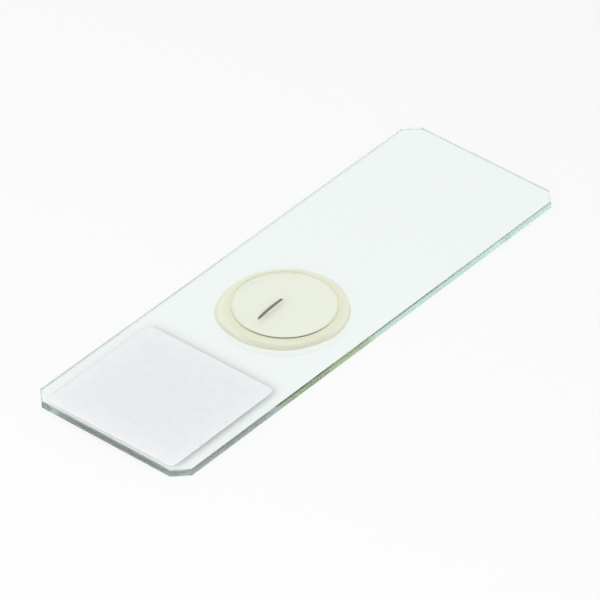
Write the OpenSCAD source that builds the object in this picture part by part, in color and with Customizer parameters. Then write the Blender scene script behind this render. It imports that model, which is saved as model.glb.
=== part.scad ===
// Prepared microscope slide: a 3 x 1 inch glass with clipped corners and ground
// edges. A stained section lies on it, sealed in resin under a round cover
// glass, and a blank paper label is stuck across one end.
//
// Millimetres. The origin is the middle of the underside. +X runs from the label
// end to the clear end, +Y across the slide, and +Z up through the face that
// carries the label and the cover glass.

/* [Glass slide] */
// Length of the slide
slide_length = 76.2; // [60:0.1:80]
// Width of the slide
slide_width = 25.4; // [23:0.1:30]
// Thickness of the slide
slide_thickness = 1.1; // [0.8:0.05:1.5]
// Leg of the 45 degree clip on each corner
corner_clip = 2; // [0.5:0.1:4]
// Leg of the fine bevel ground along every edge
edge_bevel = 0.15; // [0.05:0.01:0.3]

/* [Paper label] */
// Length of the label, along the slide
label_length = 20; // [12:0.5:24]
// Bare glass between the end's bevel and the label
label_end_gap = 0.5; // [0.2:0.1:2]
// Bare glass between each long side of the slide and the label
label_side_gap = 2.2; // [0.6:0.1:4]
// Thickness of the paper and its gum
label_thickness = 0.1; // [0.05:0.01:0.2]
// Radius of the label's corners
label_corner = 0.8; // [0.2:0.1:3]
// Turn of the label on the slide, in degrees, as a hand leaves it
label_turn = 0.4; // [-1:0.1:1]

/* [Cover glass] */
// Diameter of the round cover glass
cover_diameter = 14; // [11:0.5:18]
// Thickness of the cover glass
cover_thickness = 0.17; // [0.13:0.01:0.25]
// Distance from the label to the near rim of the cover glass
cover_gap = 7.1; // [4:0.1:12]
// Distance of the cover glass from the slide's middle line, towards -Y
cover_shift = 0.25; // [0:0.05:1]

/* [Resin] */
// Thickness of the resin between the slide and the cover glass
film_thickness = 0.12; // [0.08:0.01:0.3]
// Mean reach of the resin past the rim of the cover glass
bead_width = 1.6; // [1.4:0.1:2.4]
// How far the ring of resin has crept to one side of the cover glass
bead_creep = 0.7; // [0:0.1:0.8]
// Direction of that creep, in degrees from +X
bead_creep_angle = 208; // [0:1:359]
// How far the foot of the bead wavers in and out
bead_waver = 0.4; // [0:0.05:0.5]
// Depth of the bead's crest below the top of the cover glass
bead_step = 0.03; // [0.01:0.01:0.08]

/* [Specimen] */
// Length of the stained section
specimen_length = 5.4; // [2:0.1:8]
// Greatest width of the section
specimen_width = 0.5; // [0.2:0.05:2]
// Thickness of the section
specimen_thickness = 0.04; // [0.02:0.01:0.06]
// Sideways bow of the section between its ends
specimen_bow = 0.15; // [0:0.05:0.5]
// Place of its middle along the slide, from the middle of the cover glass
specimen_along = -1.85; // [-2.5:0.05:1]
// Place of its middle across the slide, from the middle of the cover glass
specimen_across = 1; // [-2:0.05:2]
// Turn of the section, in degrees
specimen_turn = 4; // [-10:1:10]

/* [Hidden] */
$fn = 96;

// Levels, from the underside of the slide up
slide_top = slide_thickness;
cover_seat = slide_top + film_thickness;
bead_height = film_thickness + cover_thickness - bead_step;

// Clipped corners: distance between opposite clips, measured across them
clip_span = (slide_length + slide_width - 2 * corner_clip) / sqrt(2);

// Label: it starts clear of the end's bevel and of the clipped corners
label_width = slide_width - 2 * label_side_gap;
label_start = edge_bevel + label_end_gap + max(0, corner_clip - label_side_gap);
label_end = label_start + label_length - slide_length / 2;

// Cover glass
cover_radius = cover_diameter / 2;
cover_x = label_end + cover_gap + cover_radius;
cover_y = -cover_shift;

// Bead: the waves round its foot, each as [lobes, share of the waver, phase]
BEAD_WAVES = [[2, 0.45, 40], [3, 0.3, -75], [5, 0.15, 20], [9, 0.1, 130]];
// Bead: how full its section is, from a parabola at 2 to a step when large
BEAD_FULLNESS = 2.4;
// Bead: how far its crest runs on under the cover glass before the seat is cut
BEAD_LAP = 0.4;
BEAD_SIDES = 96;
BEAD_RINGS = 6;

// Section: share of its length that is rounded tip, and what it loses to the cut end
SPECIMEN_TIP = 0.3;
SPECIMEN_TAPER = 0.2;
SPECIMEN_STEPS = 20;

function total(values, i = 0) = i < len(values) ? values[i] + total(values, i + 1) : 0;

// A bar of the slide's thickness, of this width along X and longer than the
// slide along Y, with its four long edges bevelled.
module bevelled_bar(width) {
    x = width / 2;
    inner = x - edge_bevel;
    rotate([90, 0, 0])
        linear_extrude(2 * slide_length, center = true)
            polygon([
                [-inner, 0], [inner, 0],
                [x, edge_bevel], [x, slide_thickness - edge_bevel],
                [inner, slide_thickness], [-inner, slide_thickness],
                [-x, slide_thickness - edge_bevel], [-x, edge_bevel]
            ]);
}

// The slide is what four crossed bars share, so that its ends, its sides and its
// clipped corners all get the same ground bevel.
module glass_slide() {
    color([0.72, 0.9, 0.87, 0.45])
        intersection() {
            bevelled_bar(slide_length);
            rotate([0, 0, 90]) bevelled_bar(slide_width);
            rotate([0, 0, 45]) bevelled_bar(clip_span);
            rotate([0, 0, -45]) bevelled_bar(clip_span);
        }
}

module rounded_rectangle(length, width, radius) {
    square([length - 2 * radius, width], center = true);
    square([length, width - 2 * radius], center = true);
    for (x = [-1, 1], y = [-1, 1])
        translate([x * (length / 2 - radius), y * (width / 2 - radius)])
            circle(radius);
}

module paper_label() {
    color([0.95, 0.95, 0.97])
        translate([label_end - label_length / 2, 0, slide_top])
            rotate([0, 0, label_turn])
                linear_extrude(label_thickness)
                    rounded_rectangle(label_length, label_width, label_corner);
}

module cover_disc() {
    translate([cover_x, cover_y, cover_seat])
        cylinder(r = cover_radius, h = cover_thickness);
}

module cover_glass() {
    color([0.88, 0.95, 0.93, 0.4]) cover_disc();
}

// Half the width of the section at s, from 0 at its rounded tip to 1 at the cut end
function specimen_half_width(s) =
    specimen_width / 2 * (1 - SPECIMEN_TAPER * s)
    * sqrt(1 - pow(1 - min(1, s / SPECIMEN_TIP), 2));

// Points down one side of the section, for side = 1 or -1
function specimen_side(side) = [
    for (k = [0:SPECIMEN_STEPS])
        let (s = k / SPECIMEN_STEPS)
            [
                (s - 0.5) * specimen_length,
                specimen_bow * (0.5 - pow(2 * s - 1, 2)) + side * specimen_half_width(s)
            ]
];

function reversed(list) = [for (k = [len(list) - 1:-1:0]) list[k]];

module specimen_slice() {
    outline = concat(specimen_side(-1), reversed(specimen_side(1)));
    translate([cover_x + specimen_along, cover_y + specimen_across, slide_top])
        rotate([0, 0, specimen_turn])
            linear_extrude(specimen_thickness)
                polygon([for (k = [1:len(outline) - 1]) outline[k]]);
}

module specimen() {
    color([0.32, 0.2, 0.16]) specimen_slice();
}

// Distance of the bead's foot from the middle of the cover glass, in direction a
function bead_foot(a) =
    cover_radius + bead_width
    + bead_creep * cos(a - bead_creep_angle)
    + bead_waver * total([for (wave = BEAD_WAVES) wave[1] * cos(wave[0] * a + wave[2])]);

// A point of the bead's skin in direction a, from its foot at u = 0 to its crest at 1
function bead_point(u, a) =
    let (
        foot = bead_foot(a),
        reach = foot + (cover_radius - BEAD_LAP - foot) * u,
        rise = bead_height * (1 - pow(1 - u, BEAD_FULLNESS))
    )
    [reach * cos(a), reach * sin(a), rise];

// The drop of resin that the cover glass was pressed into: a flat floor on the
// slide, a swelling skin that rises from a wavering foot, and a flat crown.
module resin_drop() {
    skin = [
        for (ring = [0:BEAD_RINGS])
            for (k = [0:BEAD_SIDES - 1])
                bead_point(ring / BEAD_RINGS, 360 * k / BEAD_SIDES)
    ];
    floor_face = [for (k = [0:BEAD_SIDES - 1]) k];
    crown_face = [for (k = [BEAD_SIDES - 1:-1:0]) BEAD_RINGS * BEAD_SIDES + k];
    bands = [
        for (ring = [0:BEAD_RINGS - 1])
            for (k = [0:BEAD_SIDES - 1])
                let (
                    low = ring * BEAD_SIDES + k,
                    low_next = ring * BEAD_SIDES + (k + 1) % BEAD_SIDES,
                    high = low + BEAD_SIDES,
                    high_next = low_next + BEAD_SIDES
                )
                for (face = [[low, high, low_next], [low_next, high, high_next]])
                    face
    ];
    translate([cover_x, cover_y, slide_top])
        polyhedron(skin, concat([floor_face, crown_face], bands));
}

// The resin, with the seat of the cover glass sunk in its crown and the section
// sealed in its floor.
module mounting_medium() {
    color([0.93, 0.93, 0.74, 0.6])
        difference() {
            resin_drop();
            cover_disc();
            specimen_slice();
        }
}

glass_slide();
mounting_medium();
specimen();
cover_glass();
paper_label();
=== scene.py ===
"""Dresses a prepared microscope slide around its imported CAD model.

The glass keeps its CAD solid and gets its finish. The resin bead, the cover glass, the stained
section and the paper label are modelled here in full detail, in the places of their CAD solids.
Sizes and reliefs are in metres. The finishes give the sizes of patterns, and the places that
they start from, in millimetres.
"""

import logging
import math
from collections.abc import Callable, Iterator
from contextlib import contextmanager
from dataclasses import dataclass, field
from enum import Enum
from functools import cached_property
from typing import Any

import bmesh
import bpy
import numpy as np
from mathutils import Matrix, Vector

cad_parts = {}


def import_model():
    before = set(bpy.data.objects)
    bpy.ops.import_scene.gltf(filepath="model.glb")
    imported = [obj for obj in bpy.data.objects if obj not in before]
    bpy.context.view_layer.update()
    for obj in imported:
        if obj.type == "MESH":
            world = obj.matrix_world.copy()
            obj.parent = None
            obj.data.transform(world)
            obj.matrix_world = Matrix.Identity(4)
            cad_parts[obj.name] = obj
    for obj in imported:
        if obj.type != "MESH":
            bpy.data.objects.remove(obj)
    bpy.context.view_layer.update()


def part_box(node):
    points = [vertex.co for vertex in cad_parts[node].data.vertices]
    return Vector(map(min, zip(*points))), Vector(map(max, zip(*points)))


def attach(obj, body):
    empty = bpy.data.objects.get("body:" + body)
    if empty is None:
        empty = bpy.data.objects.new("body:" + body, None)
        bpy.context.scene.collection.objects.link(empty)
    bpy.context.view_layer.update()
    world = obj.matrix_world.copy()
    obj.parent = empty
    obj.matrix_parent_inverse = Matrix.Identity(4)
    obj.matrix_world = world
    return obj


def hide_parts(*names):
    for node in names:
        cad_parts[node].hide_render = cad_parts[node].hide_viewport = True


MM = 0.001
BODY = "root"
LOG = logging.getLogger("microscope_slide")

# Points closer than this are one
WELD = 0.0005 * MM
# How far a face's normal points up or down: an upright face stays under the first of these, and a
# flat one passes the second
UPRIGHT = 0.5
FLAT = 0.99
# What noise averages
MEAN = 0.5

Pair = tuple[float, float]
Triple = tuple[float, float, float]
Colour = tuple[float, float, float]
# A test of a corner, edge or face, and what picks those that pass it
Test = Callable[[Any], bool]
Picker = Callable[[Test], None]


class Facing(Enum):
    """Which way a face looks."""

    UP = "up"
    DOWN = "down"
    OUT = "out"

    @classmethod
    def of(cls, normal: Vector) -> "Facing":
        """Tells which way a face looks.

        Args:
            normal: The face's normal.

        Returns:
            The way.
        """
        if abs(normal.z) < UPRIGHT:
            return cls.OUT
        return cls.UP if normal.z > 0 else cls.DOWN


class Pick(Enum):
    """What edit mode picks: its select mode, and its name in the mesh that is edited."""

    CORNERS = ("VERT", "verts")
    EDGES = ("EDGE", "edges")
    FACES = ("FACE", "faces")


class Signal:
    """A number in a shader: Python's operators on it add the Math nodes."""

    def __init__(self, board: "Board", socket: bpy.types.NodeSocket) -> None:
        """Wraps a socket.

        Args:
            board: The nodes that the socket belongs to.
            socket: An output that carries a number.
        """
        self.board = board
        self.socket = socket

    def maths(self, operation: str, *values: "Signal | float") -> "Signal":
        """Adds one Math node.

        Args:
            operation: The node's operation.
            values: Its inputs, in order.

        Returns:
            The node's result.
        """
        node = self.board.node("ShaderNodeMath", {"operation": operation}, dict(enumerate(values)))
        return Signal(self.board, node.outputs[0])

    def __add__(self, other: "Signal | float") -> "Signal":
        """This and another."""
        return self.maths("ADD", self, other)

    def __radd__(self, other: float) -> "Signal":
        """A number and this."""
        return self.maths("ADD", other, self)

    def __sub__(self, other: "Signal | float") -> "Signal":
        """This less another."""
        return self.maths("SUBTRACT", self, other)

    def __rsub__(self, other: float) -> "Signal":
        """A number less this."""
        return self.maths("SUBTRACT", other, self)

    def __mul__(self, other: "Signal | float") -> "Signal":
        """This times another."""
        return self.maths("MULTIPLY", self, other)

    def __rmul__(self, other: float) -> "Signal":
        """A number times this."""
        return self.maths("MULTIPLY", other, self)

    def __abs__(self) -> "Signal":
        """This without its sign."""
        return self.maths("ABSOLUTE", self)

    def larger(self, other: "Signal | float") -> "Signal":
        """The larger of this and another."""
        return self.maths("MAXIMUM", self, other)

    def ramp(
        self, low: float, high: "Signal | float", start: float = 0.0, end: float = 1.0
    ) -> "Signal":
        """Eases from start to end as this goes from low to high.

        Args:
            low: Where the change starts.
            high: Where it ends.
            start: The result up to low.
            end: The result past high.

        Returns:
            The eased number.
        """
        values = {"Value": self, "From Min": low, "From Max": high, "To Min": start, "To Max": end}
        node = self.board.node("ShaderNodeMapRange", {"interpolation_type": "SMOOTHSTEP"}, values)
        return Signal(self.board, node.outputs["Result"])

    def stretched(self) -> "Signal":
        """Noise, which seldom strays far from its mean, spread over all of 0 to 1."""
        return self.ramp(0.3, 0.7)


class Board:
    """The nodes of one material or world, laid out by code."""

    def __init__(self, tree: bpy.types.NodeTree) -> None:
        """Starts from an empty tree."""
        self.tree = tree
        self.tree.nodes.clear()

    def node(
        self,
        kind: str,
        settings: dict[str, Any] | None = None,
        inputs: dict[str | int, Any] | None = None,
    ) -> bpy.types.Node:
        """Adds a node.

        Args:
            kind: The node's type.
            settings: Its properties, which are set first.
            inputs: A value, a socket or a Signal for each input, which is given by its number or
                by its name among those in use.

        Returns:
            The new node.
        """
        node = self.tree.nodes.new(kind)
        for name, value in (settings or {}).items():
            setattr(node, name, value)
        named = {socket.name: socket for socket in node.inputs if socket.enabled}
        for key, value in (inputs or {}).items():
            socket = node.inputs[key] if isinstance(key, int) else named[key]
            if isinstance(value, Signal):
                value = value.socket
            if isinstance(value, bpy.types.NodeSocket):
                self.tree.links.new(value, socket)
            elif socket.type == "RGBA":
                socket.default_value = (*value, 1.0)
            else:
                socket.default_value = value
        return node

    def place(self) -> bpy.types.NodeSocket:
        """Finds the point that is shaded.

        Returns:
            The point in millimetres on the slide.
        """
        point = self.node("ShaderNodeTexCoord").outputs["Object"]
        values = {0: point, "Scale": 1 / MM}
        return self.node("ShaderNodeVectorMath", {"operation": "SCALE"}, values).outputs[0]

    def axis(self, vector: bpy.types.NodeSocket, name: str) -> Signal:
        """One axis, X, Y or Z, of a vector."""
        return Signal(self, self.node("ShaderNodeSeparateXYZ", None, {0: vector}).outputs[name])

    def upright(self, rise: Pair) -> Signal:
        """Tells the upright surfaces of a piece from its flat ones.

        Args:
            rise: How far the normal points up or down, where upright ends and where flat starts.

        Returns:
            1 on the upright surfaces and 0 on the flat ones.
        """
        normal = self.node("ShaderNodeNewGeometry").outputs["Normal"]
        return abs(self.axis(normal, "Z")).ramp(*rise, 1.0, 0.0)

    def turned(
        self, vector: bpy.types.NodeSocket, centre: Vector, turn: float = 0.0
    ) -> bpy.types.NodeSocket:
        """Moves a pattern to a centre and turns it there about Z.

        Args:
            vector: The point in millimetres.
            centre: The pattern's own origin, in metres.
            turn: Its turn in radians.

        Returns:
            The point seen from that origin.
        """
        values = {0: vector, "Location": centre / MM, "Rotation": (0, 0, turn)}
        return self.node("ShaderNodeMapping", {"vector_type": "TEXTURE"}, values).outputs[0]

    def in_grains(self, vector: bpy.types.NodeSocket, grain: Triple) -> bpy.types.NodeSocket:
        """A point counted in grains of this size along each axis, instead of in millimetres."""
        values = {0: vector, 1: tuple(1 / size for size in grain)}
        return self.node("ShaderNodeVectorMath", {"operation": "MULTIPLY"}, values).outputs[0]

    def noise(
        self,
        vector: bpy.types.NodeSocket,
        grain: Triple,
        detail: float = 2.0,
        rough: float = 0.5,
        wander: float = 0.0,
    ) -> Signal:
        """Adds cloudy noise.

        Args:
            vector: The point in millimetres.
            grain: The size of the clouds along each axis, in millimetres.
            detail: How many finer layers there are.
            rough: How strong those are.
            wander: How far the clouds are distorted.

        Returns:
            The noise, between 0 and 1.
        """
        values = {
            "Vector": self.in_grains(vector, grain),
            "Scale": 1.0,
            "Detail": detail,
            "Roughness": rough,
            "Distortion": wander,
        }
        return Signal(self, self.node("ShaderNodeTexNoise", None, values).outputs[0])

    def cells(self, vector: bpy.types.NodeSocket, grain: Triple) -> Signal:
        """Adds a pattern of uneven cells.

        Args:
            vector: The point in millimetres.
            grain: The size of a cell along each axis, in millimetres.

        Returns:
            How far the point is from the edge of its cell, in cells.
        """
        values = {"Vector": self.in_grains(vector, grain), "Scale": 1.0}
        node = self.node("ShaderNodeTexVoronoi", {"feature": "DISTANCE_TO_EDGE"}, values)
        return Signal(self, node.outputs[0])

    def mix(
        self,
        share: Signal | float,
        first: Colour | bpy.types.NodeSocket,
        second: Colour | bpy.types.NodeSocket,
    ) -> bpy.types.NodeSocket:
        """Goes from one colour to another.

        Args:
            share: How much of the second there is.
            first: The colour at 0.
            second: The colour at 1.

        Returns:
            The colour between them.
        """
        values = {"Factor": share, "A": first, "B": second}
        node = self.node("ShaderNodeMix", {"data_type": "RGBA"}, values)
        return next(socket for socket in node.outputs if socket.enabled)

    def bump(self, height: Signal, distance: float, strength: float = 1.0) -> bpy.types.NodeSocket:
        """Raises relief on the surface.

        Args:
            height: From 0, low, to 1, high.
            distance: The height of 1, in metres.
            strength: How much of it shows.

        Returns:
            The bumped normal.
        """
        values = {"Height": height, "Distance": distance, "Strength": strength}
        return self.node("ShaderNodeBump", None, values).outputs[0]


@dataclass(frozen=True)
class Clear:
    """What a clear body does to light.

    Its shade is what is left of straight light at each face. Its depth lets the passed colour
    through, and takes the rest at its density.
    """

    shade: Colour
    passed: Colour
    density: float
    refraction: float = 1.52


class Recipe(Board):
    """The nodes of one finish."""

    def __init__(self, name: str) -> None:
        """Makes an empty material.

        Args:
            name: Its name.
        """
        self.material = bpy.data.materials.new(name)
        self.material.use_nodes = True
        super().__init__(self.material.node_tree)

    def principled(self, **looks: Any) -> bpy.types.NodeSocket:
        """A Principled shader, whose inputs are named with _ for a space."""
        values = {name.replace("_", " "): value for name, value in looks.items()}
        return self.node("ShaderNodeBsdfPrincipled", None, values).outputs[0]

    def made(self, **shaders: bpy.types.NodeSocket) -> bpy.types.Material:
        """The finished material, with its Surface and any Volume joined to the output."""
        self.node("ShaderNodeOutputMaterial", None, shaders)
        return self.material

    def made_clear(self, body: Clear, **looks: Any) -> bpy.types.Material:
        """Finishes a clear body, which lamps and the floor's light go straight through.

        Args:
            body: What it does to light.
            looks: The other inputs of its Principled shader.

        Returns:
            The finished material.
        """
        glass = self.principled(IOR=body.refraction, Transmission_Weight=1.0, **looks)
        path = self.node("ShaderNodeLightPath").outputs
        straight = Signal(self, path["Is Shadow Ray"]).larger(Signal(self, path["Is Diffuse Ray"]))
        gap = self.node("ShaderNodeBsdfTransparent", None, {"Color": body.shade}).outputs[0]
        surface = self.node("ShaderNodeMixShader", None, {0: straight, 1: glass, 2: gap})
        values = {"Color": body.passed, "Density": body.density}
        volume = self.node("ShaderNodeVolumeAbsorption", None, values)
        return self.made(Surface=surface.outputs[0], Volume=volume.outputs[0])


@dataclass(frozen=True)
class SlideGlassFinish:
    """Soda glass: clear polished faces, and green ground edges with fine grinding lines.

    The faces have been wiped, and keep a faint smear of it.
    """

    face_tint: Colour = (0.970, 0.993, 0.986)
    edge_tint: Colour = (0.865, 0.966, 0.928)
    edge_deep: Colour = (0.66, 0.84, 0.77)
    edge_rise: Pair = (0.8, 0.95)
    edge_rough: float = 0.26
    rough_spread: float = 0.16
    lines: Triple = (6.0, 6.0, 0.035)
    grit: Triple = (0.05, 0.05, 0.03)
    grit_share: float = 0.4
    relief: float = 0.004 * MM
    smear: Triple = (9.0, 5.0, 5.0)
    smeared: Pair = (0.45, 0.8)
    smear_rough: float = 0.02
    body: Clear = Clear(shade=(0.975, 0.985, 0.982), passed=(0.0, 0.55, 0.38), density=9.0)

    def material(self) -> bpy.types.Material:
        """Makes the finish.

        Returns:
            The material.
        """
        recipe = Recipe("slide_glass")
        place = recipe.place()
        ground = recipe.upright(self.edge_rise)
        lines = recipe.noise(place, self.lines, detail=3.0, rough=0.6)
        grit = recipe.noise(place, self.grit)
        smear = recipe.noise(place, self.smear, wander=0.6).ramp(*self.smeared)
        rough = ground * (self.edge_rough + self.rough_spread * (lines - MEAN))
        rough = rough + (1 - ground) * smear * self.smear_rough
        edge = recipe.mix(lines.stretched(), self.edge_deep, self.edge_tint)
        height = lines * (1 - self.grit_share) + grit * self.grit_share
        return recipe.made_clear(
            self.body,
            Base_Color=recipe.mix(ground, self.face_tint, edge),
            Roughness=rough,
            Normal=recipe.bump(ground * height, self.relief),
        )


@dataclass(frozen=True)
class CoverGlassFinish:
    """Thin drawn glass with a faintly frosted rim."""

    face_tint: Colour = (0.992, 0.998, 0.996)
    rim_tint: Colour = (0.86, 0.95, 0.93)
    rim_rise: Pair = (0.5, 0.98)
    rim_rough: float = 0.2
    chip: Triple = (0.12, 0.12, 0.05)
    relief: float = 0.002 * MM
    body: Clear = Clear(shade=(0.992, 0.995, 0.994), passed=(0.0, 0.66, 0.56), density=20.0)

    def material(self) -> bpy.types.Material:
        """Makes the finish.

        Returns:
            The material.
        """
        recipe = Recipe("cover_glass")
        rim = recipe.upright(self.rim_rise)
        chips = recipe.noise(recipe.place(), self.chip, detail=3.0)
        return recipe.made_clear(
            self.body,
            Base_Color=recipe.mix(rim, self.face_tint, self.rim_tint),
            Roughness=rim * (self.rim_rough * (MEAN + chips)),
            Normal=recipe.bump(rim * chips, self.relief),
        )


@dataclass(frozen=True)
class ResinFinish:
    """Dried mounting resin: glossy, yellow green where it is deep, with a faintly puckered skin.

    The deep tint comes in over bank_inside, up to the rim of the cover glass. From bank_outside
    past the rim it fades, to bank_at_foot. The feathered foot is browner and darker: partly the
    yellowing of resin that dried first, partly painted shade for the bead's dark outline.
    """

    tint: Colour = (0.974, 0.960, 0.888)
    deep_tint: Colour = (0.918, 0.900, 0.745)
    bank_inside: float = 0.4
    bank_outside: float = 0.3
    bank_at_foot: float = 0.2
    # Partly painted shade: this browner, darker foot colour adds the shade of the bead's outline
    # to the yellowing of the dried foot
    foot_tint_and_shade: Colour = (0.82, 0.80, 0.58)
    foot_height: Triple = (0.008, 0.03, 0.15)
    foot_waver: float = 0.06
    pucker: Triple = (0.5, 0.5, 0.2)
    pucker_start: float = 0.2
    relief: float = 0.004 * MM
    rough: float = 0.03
    body: Clear = Clear(shade=(0.988, 0.988, 0.965), passed=(0.75, 0.70, 0.25), density=160.0)

    def material(
        self, centre: Vector, rim: float, reach: float, floor: float
    ) -> bpy.types.Material:
        """Makes the finish.

        Args:
            centre: The middle of the cover glass, in metres.
            rim: The radius of the cover glass, in millimetres.
            reach: The mean radius of the bead's foot, in millimetres.
            floor: The height of the glass that the bead lies on, in millimetres.

        Returns:
            The material.
        """
        recipe = Recipe("mounting_resin")
        place = recipe.place()
        own = recipe.turned(place, Vector((centre.x, centre.y, 0)))
        length = recipe.node("ShaderNodeVectorMath", {"operation": "LENGTH"}, {0: own})
        out = Signal(recipe, length.outputs["Value"])
        fading = out.ramp(rim + self.bank_outside, reach, 1.0, self.bank_at_foot)
        bank = out.ramp(rim - self.bank_inside, rim) * fading
        skin = recipe.noise(place, self.pucker, detail=3.0, wander=0.4)
        bare = out.ramp(rim, rim + self.pucker_start)
        rise = recipe.axis(place, "Z") - floor
        start, full, end = self.foot_height
        ragged_end = end + self.foot_waver * (skin - MEAN)
        # The foot band carries the partly painted shade of the bead's outline
        foot = rise.ramp(0.0, start) * rise.ramp(full, ragged_end, 1.0, 0.0)
        tint = recipe.mix(bank, self.tint, self.deep_tint)
        return recipe.made_clear(
            self.body,
            Base_Color=recipe.mix(foot * bare, tint, self.foot_tint_and_shade),
            Roughness=bare * skin * self.rough,
            Normal=recipe.bump(bare * skin, self.relief),
        )


@dataclass(frozen=True)
class TissueFinish:
    """A lengthwise section: files of small cells with dark walls round a darker core.

    The core's width is given as shares of the section's: where it starts to fade, and its edge.
    """

    wall: Colour = (0.050, 0.020, 0.012)
    # Partly painted light: the cells' stain is lightened to stand in for the lit table showing
    # through the thin section
    cell: Colour = (0.370, 0.235, 0.150)
    core: Colour = (0.040, 0.018, 0.012)
    cell_size: Triple = (0.13, 0.055, 0.06)
    wall_width: Pair = (0.05, 0.22)
    band: Triple = (0.7, 0.12, 0.2)
    banded: Pair = (0.55, 0.8)
    core_width: Pair = (0.16, 0.55)
    core_waver: float = 0.06
    rough: float = 0.45
    wall_rough: float = 0.2
    relief: float = 0.004 * MM

    def material(self, centre: Vector, turn: float, half: float) -> bpy.types.Material:
        """Makes the finish.

        Args:
            centre: The middle of the section, in metres.
            turn: Its turn in radians.
            half: Half its greatest width, in millimetres.

        Returns:
            The material.
        """
        recipe = Recipe("stained_tissue")
        own = recipe.turned(recipe.place(), centre, turn)
        walls = recipe.cells(own, self.cell_size).ramp(*self.wall_width, 1.0, 0.0)
        bands = recipe.noise(own, self.band, detail=3.0)
        across = abs(recipe.axis(own, "Y")) + self.core_waver * bands
        full, edge = (share * half for share in self.core_width)
        core = across.ramp(full, edge, 1.0, 0.0)
        # The cells between the walls carry the painted light of the table showing through
        body = recipe.mix(walls.larger(bands.ramp(*self.banded)), self.cell, self.wall)
        tissue = recipe.principled(
            Base_Color=recipe.mix(core, body, self.core),
            Roughness=self.rough + self.wall_rough * walls,
            Normal=recipe.bump(walls, self.relief),
        )
        return recipe.made(Surface=tissue)


@dataclass(frozen=True)
class PaperFinish:
    """Smooth white label paper: cloudy stock, short pressed fibres and slightly soiled edges."""

    white: Colour = (0.815, 0.825, 0.850)
    cloud: Colour = (0.780, 0.792, 0.822)
    soil: Colour = (0.700, 0.700, 0.700)
    soil_width: float = 0.35
    soil_share: float = 0.35
    formation: Triple = (1.3, 1.3, 1.3)
    fibre: Triple = (0.5, 0.07, 0.2)
    fibrous: Pair = (0.5, 0.7)
    fibre_share: float = 0.6
    relief: float = 0.008 * MM
    relief_seen: float = 0.6
    cloud_relief: float = 0.3
    rough: float = 0.62
    rough_spread: float = 0.12
    glow: float = 0.7
    glow_depth: float = 0.2 * MM

    def material(
        self, centre: Vector, turn: float, half_length: float, half_width: float
    ) -> bpy.types.Material:
        """Makes the finish.

        Args:
            centre: The middle of the label, in metres.
            turn: Its turn in radians.
            half_length: Half its length, in millimetres.
            half_width: Half its width, in millimetres.

        Returns:
            The material.
        """
        recipe = Recipe("label_paper")
        own = recipe.turned(recipe.place(), centre, turn)
        clouds = recipe.noise(own, self.formation, detail=4.0, rough=0.6)
        length, width, depth = self.fibre
        along = recipe.noise(own, (length, width, depth), detail=3.0, wander=1.5)
        across = recipe.noise(own, (width, length, depth), detail=3.0, wander=1.5)
        fibres = along.larger(across)
        end = abs(recipe.axis(own, "X")).ramp(half_length - self.soil_width, half_length)
        side = abs(recipe.axis(own, "Y")).ramp(half_width - self.soil_width, half_width)
        soiled = end.larger(side) * clouds.stretched() * self.soil_share
        stock = recipe.mix(clouds.stretched(), self.white, self.cloud)
        stock = recipe.mix(fibres.ramp(*self.fibrous) * self.fibre_share, stock, self.cloud)
        height = fibres * (1 - self.cloud_relief) + clouds * self.cloud_relief
        paper = recipe.principled(
            Base_Color=recipe.mix(soiled, stock, self.soil),
            Roughness=self.rough + self.rough_spread * (fibres - MEAN),
            Subsurface_Weight=self.glow,
            Subsurface_Radius=(1.0, 1.0, 1.0),
            Subsurface_Scale=self.glow_depth,
            Normal=recipe.bump(height, self.relief, self.relief_seen),
        )
        return recipe.made(Surface=paper)


@dataclass(frozen=True)
class GumFinish:
    """The gummed back of the label, as it shows through the glass: dull and patchy."""

    wet: Colour = (0.78, 0.785, 0.77)
    dry: Colour = (0.85, 0.855, 0.86)
    patch: Triple = (3.0, 2.0, 2.0)
    patched: Pair = (0.35, 0.65)
    speck: Triple = (0.2, 0.2, 0.2)
    relief: float = 0.002 * MM
    rough: float = 0.4
    rough_spread: float = 0.2
    glow: float = 0.7
    glow_depth: float = 0.2 * MM

    def material(self) -> bpy.types.Material:
        """Makes the finish.

        Returns:
            The material.
        """
        recipe = Recipe("label_gum")
        place = recipe.place()
        patches = recipe.noise(place, self.patch, detail=5.0, rough=0.65, wander=0.8)
        specks = recipe.noise(place, self.speck)
        gum = recipe.principled(
            Base_Color=recipe.mix(patches.ramp(*self.patched), self.wet, self.dry),
            Roughness=self.rough + self.rough_spread * (specks - MEAN),
            Subsurface_Weight=self.glow,
            Subsurface_Radius=(1.0, 1.0, 1.0),
            Subsurface_Scale=self.glow_depth,
            Normal=recipe.bump(specks, self.relief),
        )
        return recipe.made(Surface=gum)


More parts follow.
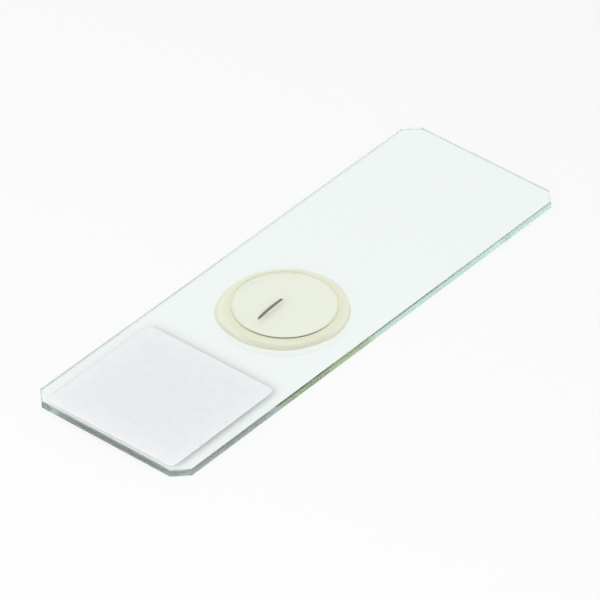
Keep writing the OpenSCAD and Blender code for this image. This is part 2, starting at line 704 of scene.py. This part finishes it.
class Bench:
    """One piece on the bench: picked at by place, and shaped by edit mode's operators."""

    def __init__(self, name: str, primitive: Callable[..., Any], **sizes: Any) -> None:
        """Adds the primitive that the piece starts from.

        Args:
            name: The piece's name.
            primitive: The operator that adds it.
            sizes: Its size and place.
        """
        self.clear()
        primitive(**sizes)
        self.piece = bpy.context.object
        self.piece.name = name
        self.settle()

    @staticmethod
    def clear() -> None:
        """Leaves nothing selected, so that an operator acts on the new piece alone."""
        for thing in bpy.context.selected_objects:
            thing.select_set(False)

    def take(self) -> None:
        """Selects this piece alone, as the active one."""
        self.clear()
        self.piece.select_set(True)
        bpy.context.view_layer.objects.active = self.piece

    def settle(self) -> None:
        """Moves the object's place, turn and size into its mesh."""
        self.take()
        bpy.ops.object.transform_apply(location=True, rotation=True, scale=True)

    def smooth(self, angle: float) -> None:
        """Shades the piece smooth up to an angle in degrees."""
        self.take()
        bpy.ops.object.shade_smooth_by_angle(angle=math.radians(angle))

    @contextmanager
    def editing(self, kind: Pick) -> Iterator[Picker]:
        """Edit mode on the piece, with nothing picked.

        Args:
            kind: What is picked in it.

        Yields:
            A function that picks what passes a test, and nothing else.
        """
        mode, listed = kind.value
        self.take()
        bpy.ops.object.mode_set(mode="EDIT")
        bpy.ops.mesh.select_mode(type=mode)
        bpy.ops.mesh.select_all(action="DESELECT")

        def pick(test: Test) -> None:
            """Picks what passes the test, and nothing else."""
            mesh = bmesh.from_edit_mesh(self.piece.data)
            for element in getattr(mesh, listed):
                element.select_set(test(element))
            bmesh.update_edit_mesh(self.piece.data)

        yield pick
        bpy.ops.object.mode_set(mode="OBJECT")

    @staticmethod
    def soften(width: float, segments: int) -> None:
        """Bevels the edges that are picked in edit mode.

        Args:
            width: The bevel's width in metres.
            segments: Its facets.
        """
        bpy.ops.mesh.bevel(offset=width, offset_type="OFFSET", segments=segments, affect="EDGES")

    def close(self) -> None:
        """Merges the piece's doubles and turns its faces outwards."""
        with self.editing(Pick.CORNERS):
            bpy.ops.mesh.select_all(action="SELECT")
            bpy.ops.mesh.remove_doubles(threshold=WELD)
            bpy.ops.mesh.normals_make_consistent(inside=False)

    def slice_up(self, pitch: float) -> None:
        """Cuts a flat piece into squares, so that its surface can be worked.

        Args:
            pitch: The squares' size in metres.
        """
        corners = [corner.co for corner in self.piece.data.vertices]
        with self.editing(Pick.FACES):
            for axis, normal in enumerate((Vector((1, 0, 0)), Vector((0, 1, 0)))):
                low = min(corner[axis] for corner in corners)
                high = max(corner[axis] for corner in corners)
                steps = round((high - low) / pitch)
                for step in range(1, steps):
                    cut = low + (high - low) * step / steps
                    bpy.ops.mesh.select_all(action="SELECT")
                    bpy.ops.mesh.bisect(plane_co=normal * cut, plane_no=normal)

    def thicken(self, depth: float) -> None:
        """Gives a flat piece its thickness, upwards.

        Args:
            depth: The thickness in metres.
        """
        with self.editing(Pick.FACES):
            bpy.ops.mesh.select_all(action="SELECT")
            bpy.ops.mesh.extrude_region_move(TRANSFORM_OT_translate={"value": (0, 0, depth)})
            bpy.ops.mesh.select_all(action="SELECT")
            bpy.ops.mesh.normals_make_consistent(inside=False)

    def roughen(self, top: float, grain: float, height: float) -> None:
        """Gives the upper face a fine relief with an applied Displace modifier.

        Args:
            top: The height of that face in metres.
            grain: The size of the relief's clouds in metres.
            height: The relief's height from low to high, in metres.
        """
        face = self.piece.vertex_groups.new(name="face")
        corners = self.piece.data.vertices
        face.add([corner.index for corner in corners if corner.co.z > top - WELD], 1.0, "REPLACE")
        texture = bpy.data.textures.new(f"{self.piece.name}_relief", "CLOUDS")
        texture.noise_scale = grain
        texture.noise_depth = 2
        modifier = self.piece.modifiers.new("relief", "DISPLACE")
        modifier.texture = texture
        modifier.texture_coords = "LOCAL"
        modifier.vertex_group = face.name
        modifier.strength = height
        modifier.mid_level = MEAN
        bpy.ops.object.modifier_apply(modifier=modifier.name)


class Part:
    """A real part of the slide, which takes its place and its size from its CAD solid."""

    node: str
    slot: str

    @property
    def solid(self) -> bpy.types.Object:
        """The CAD solid."""
        return bpy.data.objects[self.node]

    @cached_property
    def low(self) -> Vector:
        """The lowest corner of the CAD solid's box."""
        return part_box(self.node)[0]

    @cached_property
    def high(self) -> Vector:
        """The highest corner of the CAD solid's box."""
        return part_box(self.node)[1]

    @cached_property
    def middle(self) -> Vector:
        """The middle of the CAD solid's box."""
        return (self.low + self.high) / 2

    def stand_in(self, piece: bpy.types.Object, *materials: bpy.types.Material) -> None:
        """Finishes a modelled piece, and stands it in for the CAD solid.

        Args:
            piece: The modelled piece.
            materials: Its finishes.
        """
        for material in materials:
            piece.data.materials.append(material)
        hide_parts(self.node)
        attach(piece, BODY)


@dataclass
class GlassSlide(Part):
    """The slide itself: the CAD solid with its finish."""

    node: str = "glass_slide"
    finish: SlideGlassFinish = field(default_factory=SlideGlassFinish)

    @property
    def top(self) -> float:
        """The height of the face that carries everything else."""
        return self.high.z

    def dress(self) -> None:
        """Gives the CAD solid its glass."""
        glass = self.solid
        material = self.finish.material()
        if not glass.material_slots:
            glass.data.materials.append(material)
        for slot in glass.material_slots:
            slot.material = material


@dataclass
class CoverGlass(Part):
    """The round cover glass, with the fine broken-back rim of a cut disc."""

    node: str = "cover_glass"
    slot: str = "cover_glass"
    sides: int = 256
    arris: float = 0.012 * MM
    arris_facets: int = 2
    margin: float = 0.6 * MM
    crease: float = 30.0
    finish: CoverGlassFinish = field(default_factory=CoverGlassFinish)

    @property
    def radius(self) -> float:
        """The disc's radius."""
        return (self.high.x - self.low.x) / 2

    def build(self) -> bpy.types.Object:
        """Models the disc.

        Returns:
            The piece.
        """
        bench = Bench(
            "cover_disc",
            bpy.ops.mesh.primitive_cylinder_add,
            vertices=self.sides,
            radius=self.radius,
            depth=self.high.z - self.low.z,
            location=self.middle,
        )
        with bench.editing(Pick.EDGES) as pick:
            pick(lambda edge: abs(edge.verts[0].co.z - edge.verts[1].co.z) < WELD)
            bench.soften(self.arris, self.arris_facets)
        with bench.editing(Pick.FACES) as pick:
            pick(lambda face: abs(face.normal.z) > FLAT)
            bpy.ops.mesh.inset(thickness=self.margin)
        bench.close()
        bench.smooth(self.crease)
        return bench.piece

    def dress(self, piece: bpy.types.Object) -> None:
        """Gives the disc its glass."""
        self.stand_in(piece, self.finish.material())


@dataclass(frozen=True)
class Ripple:
    """A drying ripple round the resin's skin.

    Its place and its width are shares of the way from the foot to the crest. Its rise wavers in
    lobes on the way round, and the drift keeps those of one ripple apart from the next one's.
    """

    place: float
    width: float
    rise: float
    waver: float = 0.4
    lobes: int = 3
    drift: float = 9.0

    def lift(self, share: float, angle: float) -> float:
        """How far it lifts the skin.

        Args:
            share: The place on the skin, from 0 at the foot to 1 at the crest.
            angle: The direction from the middle of the cover glass, in radians.

        Returns:
            The lift in metres.
        """
        swell = math.exp(-(((share - self.place) / self.width) ** 2))
        wave = math.sin(self.lobes * angle + self.drift * self.place)
        return self.rise * swell * (1 - self.waver + self.waver * wave)


@dataclass
class ResinBead(Part):
    """The pressed-out drop of resin that holds the cover glass.

    Its skin is spun round the middle of the cover glass, and its foot is then pushed in and out to
    the reach of the CAD solid's foot. It climbs the rim of the cover glass in a fine meniscus.
    Its fullness, its lap and its crest's drop are the CAD solid's. Where it wets glass it runs a
    hair into it, so that light crosses as it does in a real joint.
    """

    cover: CoverGlass
    slide: GlassSlide
    node: str = "mounting_medium"
    slot: str = "mounting_resin"
    sides: int = 320
    rings: int = 16
    crowding: float = 1.3
    fullness: float = 2.4
    crest_drop: float = 0.03 * MM
    lap: float = 0.4 * MM
    climb: float = 0.016 * MM
    climb_width: float = 0.14 * MM
    climb_steps: int = 4
    climb_curve: float = 2.5
    wet: float = 0.003 * MM
    harmonics: int = 10
    ripples: tuple[Ripple, ...] = (
        Ripple(place=0.17, width=0.05, rise=0.004 * MM),
        Ripple(place=0.42, width=0.07, rise=0.005 * MM),
        Ripple(place=0.68, width=0.06, rise=0.003 * MM),
    )
    crease: float = 40.0
    finish: ResinFinish = field(default_factory=ResinFinish)

    @cached_property
    def waves(self) -> list[complex]:
        """The reach of the CAD solid's foot, as waves round it.

        Returns:
            The mean reach first, and then the waves of one lobe and more.
        """
        corners = [corner.co for corner in self.solid.data.vertices]
        floor = [place for place in corners if place.z < self.low.z + WELD]
        away = [(place - self.cover.middle).xy for place in floor]
        foot = [step for step in away if step.length > self.cover.radius]
        angles = np.array([math.atan2(step.y, step.x) for step in foot])
        order = np.argsort(angles)
        turns = np.linspace(-math.pi, math.pi, self.sides, endpoint=False)
        reach = np.array([step.length for step in foot])
        evenly = np.interp(turns, angles[order], reach[order], period=2 * math.pi)
        waves = np.fft.rfft(evenly) / self.sides
        return [complex(wave) for wave in waves[: self.harmonics]]

    @property
    def mean(self) -> float:
        """The mean reach of the foot from the middle of the cover glass."""
        return self.waves[0].real

    @property
    def crest(self) -> float:
        """The radius at which the skin's curve would level out, under the cover glass."""
        return self.cover.radius - self.lap

    def reach(self, angle: float) -> float:
        """How far the foot lies from the middle of the cover glass.

        Args:
            angle: The direction in radians.

        Returns:
            The reach in metres.
        """
        turn = angle + math.pi
        return self.mean + sum(
            2 * (wave * complex(math.cos(lobes * turn), math.sin(lobes * turn))).real
            for lobes, wave in enumerate(self.waves[1:], start=1)
        )

    def share(self, radius: float) -> float:
        """Where a radius lies, from 0 at the mean foot to 1 at the crest."""
        return (self.mean - radius) / (self.mean - self.crest)

    def height(self, share: float) -> float:
        """The height of the skin over the slide, from 0 at the foot to 1 at the crest."""
        full = self.cover.high.z - self.crest_drop - self.slide.top
        return full * (1 - (1 - share) ** self.fullness)

    def profile(self) -> list[Pair]:
        """The section of the bead, from its axis out along the slide and back over the top.

        Returns:
            Radii and heights in metres.
        """
        top = self.slide.top
        near = self.cover.radius + self.climb_width
        points = [(0.0, top - self.wet), (self.mean, top - self.wet)]
        for ring in range(1, self.rings + 1):
            share = self.share(near) * (ring / self.rings) ** self.crowding
            points.append((self.mean + (self.crest - self.mean) * share, top + self.height(share)))
        for step in range(1, self.climb_steps + 1):
            part = step / self.climb_steps
            out = near - self.climb_width * part
            rise = self.height(self.share(out)) + self.climb * part**self.climb_curve
            points.append((out, top + rise))
        rim = self.cover.radius - self.wet
        seat = self.cover.low.z + self.wet
        return points + [(rim, points[-1][1] - self.wet), (rim, seat), (0.0, seat)]

    def build(self) -> bpy.types.Object:
        """Models the bead.

        Returns:
            The piece.
        """
        points = self.profile()
        centre = self.cover.middle
        start = (centre.x + points[0][0], centre.y, points[0][1])
        bench = Bench("resin_bead", bpy.ops.mesh.primitive_plane_add, size=MM, location=start)
        with bench.editing(Pick.CORNERS):
            bpy.ops.mesh.select_all(action="SELECT")
            bpy.ops.mesh.merge(type="CENTER")
            for (r0, z0), (r1, z1) in zip(points, points[1:]):
                step = {"value": (r1 - r0, 0, z1 - z0)}
                bpy.ops.mesh.extrude_region_move(TRANSFORM_OT_translate=step)
            bpy.ops.mesh.select_all(action="SELECT")
            middle = (centre.x, centre.y, 0)
            bpy.ops.mesh.spin(steps=self.sides, angle=2 * math.pi, center=middle, axis=(0, 0, 1))
        bench.close()
        self.push_foot(bench.piece)
        bench.close()
        bench.smooth(self.crease)
        return bench.piece

    def push_foot(self, piece: bpy.types.Object) -> None:
        """Pushes the spun skin in and out to the foot's true reach, and lays its drying ripples.

        Args:
            piece: The spun piece.
        """
        centre = self.cover.middle
        for corner in piece.data.vertices:
            away = (corner.co - centre).xy
            if away.length <= self.cover.radius:
                continue
            angle = math.atan2(away.y, away.x)
            share = self.share(away.length)
            out = self.crest + (self.reach(angle) - self.crest) * (1 - share)
            if corner.co.z > self.slide.top:
                corner.co.z += sum(ripple.lift(share, angle) for ripple in self.ripples)
            corner.co.xy = centre.xy + away * (out / away.length)

    def dress(self, piece: bpy.types.Object) -> None:
        """Gives the bead its resin."""
        rim, reach, floor = (size / MM for size in (self.cover.radius, self.mean, self.slide.top))
        self.stand_in(piece, self.finish.material(self.cover.middle, rim, reach, floor))


@dataclass
class TissueSection(Part):
    """The stained section, sealed in the resin a hair off the face of the slide."""

    node: str = "specimen"
    slot: str = "stained_tissue"
    stations: int = 72
    strips: int = 8
    float_off: float = 0.002 * MM
    end_share: float = 0.01
    turn: float = math.radians(4)
    ragged: float = 0.010 * MM
    evenness: float = 0.5
    seed: int = 7
    crease: float = 50.0
    finish: TissueFinish = field(default_factory=TissueFinish)

    def span(self, x: float) -> Pair:
        """Where the CAD solid's outline lies at a place along the slide.

        Args:
            x: The place.

        Returns:
            Its lowest and highest Y there.
        """
        mesh = self.solid.data
        found = []
        for edge in mesh.edges:
            a, b = (mesh.vertices[index].co for index in edge.vertices)
            if (a.x - x) * (b.x - x) <= 0 and abs(a.x - b.x) > WELD:
                found.append(a.y + (b.y - a.y) * (x - a.x) / (b.x - a.x))
        return min(found), max(found)

    def build(self) -> bpy.types.Object:
        """Models the section.

        Returns:
            The piece.
        """
        low, high = self.low, self.high
        margin = self.end_share * (high.x - low.x)
        length = high.x - low.x - 2 * margin
        pitch = length / self.stations
        middle = Vector((self.middle.x, self.middle.y, low.z + self.float_off))
        bench = Bench(
            "tissue_section",
            bpy.ops.mesh.primitive_grid_add,
            x_subdivisions=self.stations,
            y_subdivisions=self.strips,
            size=length,
            location=middle,
        )
        with bench.editing(Pick.CORNERS) as pick:
            for station in range(self.stations + 1):
                x = low.x + margin + length * station / self.stations
                bottom, top = self.span(x)
                pick(lambda corner: abs(corner.co.x - x) < pitch / 4)
                narrow = (1, (top - bottom) / length, 1)
                bpy.ops.transform.resize(value=narrow, center_override=(x, middle.y, middle.z))
                bpy.ops.transform.translate(value=(0, (top + bottom) / 2 - middle.y, 0))
            bpy.ops.mesh.select_all(action="SELECT")
            bpy.ops.transform.vertex_random(
                offset=self.ragged, uniform=self.evenness, seed=self.seed
            )
            bpy.ops.transform.resize(value=(1, 1, 0), center_override=(0, 0, middle.z))
        bench.thicken(high.z - low.z - 2 * self.float_off)
        bench.smooth(self.crease)
        return bench.piece

    def dress(self, piece: bpy.types.Object) -> None:
        """Gives the section its stain."""
        half = (self.high.y - self.low.y) / 2 / MM
        self.stand_in(piece, self.finish.material(self.middle, self.turn, half))


@dataclass
class PaperLabel(Part):
    """The blank paper label, die-cut and gummed to the glass."""

    node: str = "paper_label"
    slot: str = "label_paper"
    corner: float = 0.8 * MM
    corner_facets: int = 10
    turn: float = math.radians(0.4)
    pitch: float = 0.25 * MM
    cut_edge: float = 0.02 * MM
    cut_facets: int = 2
    wet: float = 0.002 * MM
    formation: float = 0.7 * MM
    formation_height: float = 0.003 * MM
    crease: float = 35.0
    paper: PaperFinish = field(default_factory=PaperFinish)
    gum: GumFinish = field(default_factory=GumFinish)

    @property
    def seat(self) -> Vector:
        """The middle of the label's gummed face."""
        return Vector((self.middle.x, self.middle.y, self.low.z))

    @cached_property
    def size(self) -> Pair:
        """The label's size before it was turned, from the box that it fills.

        Returns:
            Its length and its width.
        """
        cos, sin = math.cos(self.turn), math.sin(self.turn)
        across = self.high.x - self.low.x - 2 * self.corner
        up = self.high.y - self.low.y - 2 * self.corner
        spread = cos * cos - sin * sin
        length = (across * cos - up * sin) / spread
        width = (up * cos - across * sin) / spread
        return length + 2 * self.corner, width + 2 * self.corner

    def build(self) -> bpy.types.Object:
        """Models the label.

        Returns:
            The piece.
        """
        bench = Bench("label_sheet", bpy.ops.mesh.primitive_plane_add, size=1)
        bench.piece.scale = (*self.size, 1)
        bench.settle()
        with bench.editing(Pick.CORNERS):
            bpy.ops.mesh.select_all(action="SELECT")
            bpy.ops.mesh.bevel(
                offset=self.corner,
                offset_type="OFFSET",
                segments=self.corner_facets,
                affect="VERTICES",
            )
        bench.slice_up(self.pitch)
        bench.close()
        thickness = self.high.z - self.low.z + self.wet - self.formation_height / 2
        bench.thicken(thickness)
        cut = {Facing.UP, Facing.OUT}
        with bench.editing(Pick.EDGES) as pick:
            pick(lambda edge: {Facing.of(face.normal) for face in edge.link_faces} == cut)
            bench.soften(self.cut_edge, self.cut_facets)
        bench.roughen(thickness, self.formation, self.formation_height)
        bench.piece.location = self.seat - Vector((0, 0, self.wet))
        bench.piece.rotation_euler = (0, 0, self.turn)
        bench.settle()
        bench.smooth(self.crease)
        return bench.piece

    def dress(self, piece: bpy.types.Object) -> None:
        """Gives the label its paper, and its underside its gum.

        Args:
            piece: The label.
        """
        half_length, half_width = (side / 2 / MM for side in self.size)
        paper = self.paper.material(self.seat, self.turn, half_length, half_width)
        self.stand_in(piece, paper, self.gum.material())
        for face in piece.data.polygons:
            face.material_index = int(Facing.of(face.normal) is Facing.DOWN)


@dataclass
class Studio:
    """A white table under soft light, and the camera."""

    floor_size: float = 3.0
    floor_drop: float = 0.03 * MM
    floor_colour: Colour = (0.93, 0.93, 0.93)
    sky: float = 0.62
    lamp_place: Triple = (-0.75, -0.15, 1.05)
    lamp_size: float = 1.3
    lamp_watts: float = 11.5
    azimuth: float = -50.0
    elevation: float = 38.0
    distance: float = 0.925
    lens: float = 430.0
    sensor: float = 36.0
    near_clip: float = 0.01
    bounces: int = 40

    def lay_floor(self) -> None:
        """Lays the table top just under the slide."""
        bench = Bench(
            "table_top",
            bpy.ops.mesh.primitive_plane_add,
            size=self.floor_size,
            location=(0, 0, -self.floor_drop),
        )
        recipe = Recipe("table_white")
        white = recipe.node("ShaderNodeBsdfDiffuse", None, {"Color": self.floor_colour}).outputs[0]
        bench.piece.data.materials.append(recipe.made(Surface=white))

    def light(self) -> None:
        """Sets the sky and the lamp. Glass and the camera see the sky as plain white."""
        world = bpy.data.worlds.new("studio")
        world.use_nodes = True
        bpy.context.scene.world = world
        board = Board(world.node_tree)
        path = board.node("ShaderNodeLightPath").outputs
        seen = Signal(board, path["Is Camera Ray"])
        for way in ("Is Glossy Ray", "Is Transmission Ray"):
            seen = seen.larger(Signal(board, path[way]))
        strength = self.sky + (1 - self.sky) * seen
        values = {"Color": (1.0, 1.0, 1.0), "Strength": strength}
        sky = board.node("ShaderNodeBackground", None, values).outputs[0]
        board.node("ShaderNodeOutputWorld", None, {"Surface": sky})
        lamp = bpy.data.lights.new("softbox", "AREA")
        lamp.energy = self.lamp_watts
        lamp.size = self.lamp_size
        self.aim(bpy.data.objects.new("softbox", lamp), Vector(self.lamp_place))

    @staticmethod
    def aim(thing: bpy.types.Object, place: Vector) -> None:
        """Puts a lamp or a camera at a place and turns it to the middle of the slide.

        Args:
            thing: The lamp or the camera.
            place: Its place.
        """
        bpy.context.scene.collection.objects.link(thing)
        thing.location = place
        thing.rotation_euler = (-place).to_track_quat("-Z", "Y").to_euler()

    def set_camera(self) -> None:
        """Sets the camera, and lets light bounce often enough to cross the glass."""
        around, up = math.radians(self.azimuth), math.radians(self.elevation)
        flat = math.cos(up)
        way = Vector((math.sin(around) * flat, -math.cos(around) * flat, math.sin(up)))
        camera = bpy.data.cameras.new("camera")
        camera.lens = self.lens
        camera.sensor_width = self.sensor
        camera.clip_start = self.near_clip
        seer = bpy.data.objects.new("camera", camera)
        self.aim(seer, way * self.distance)
        scene = bpy.context.scene
        scene.camera = seer
        scene.view_settings.view_transform = "Standard"
        for kind in ("max", "glossy", "transmission", "transparent_max"):
            setattr(scene.cycles, f"{kind}_bounces", self.bounces)


def main() -> None:
    """Loads the frame, builds and dresses each piece, and sets the studio."""
    logging.basicConfig(level=logging.INFO, format="%(name)s: %(message)s")
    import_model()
    slide = GlassSlide()
    slide.dress()
    LOG.info("%s is dressed as it stands", slide.node)
    cover = CoverGlass()
    for part in (cover, ResinBead(cover, slide), TissueSection(), PaperLabel()):
        piece = part.build()
        part.dress(piece)
        LOG.info("%s stands for %s: %d faces", piece.name, part.node, len(piece.data.polygons))
    studio = Studio()
    studio.lay_floor()
    studio.light()
    studio.set_camera()


if __name__ == "__main__":
    main()
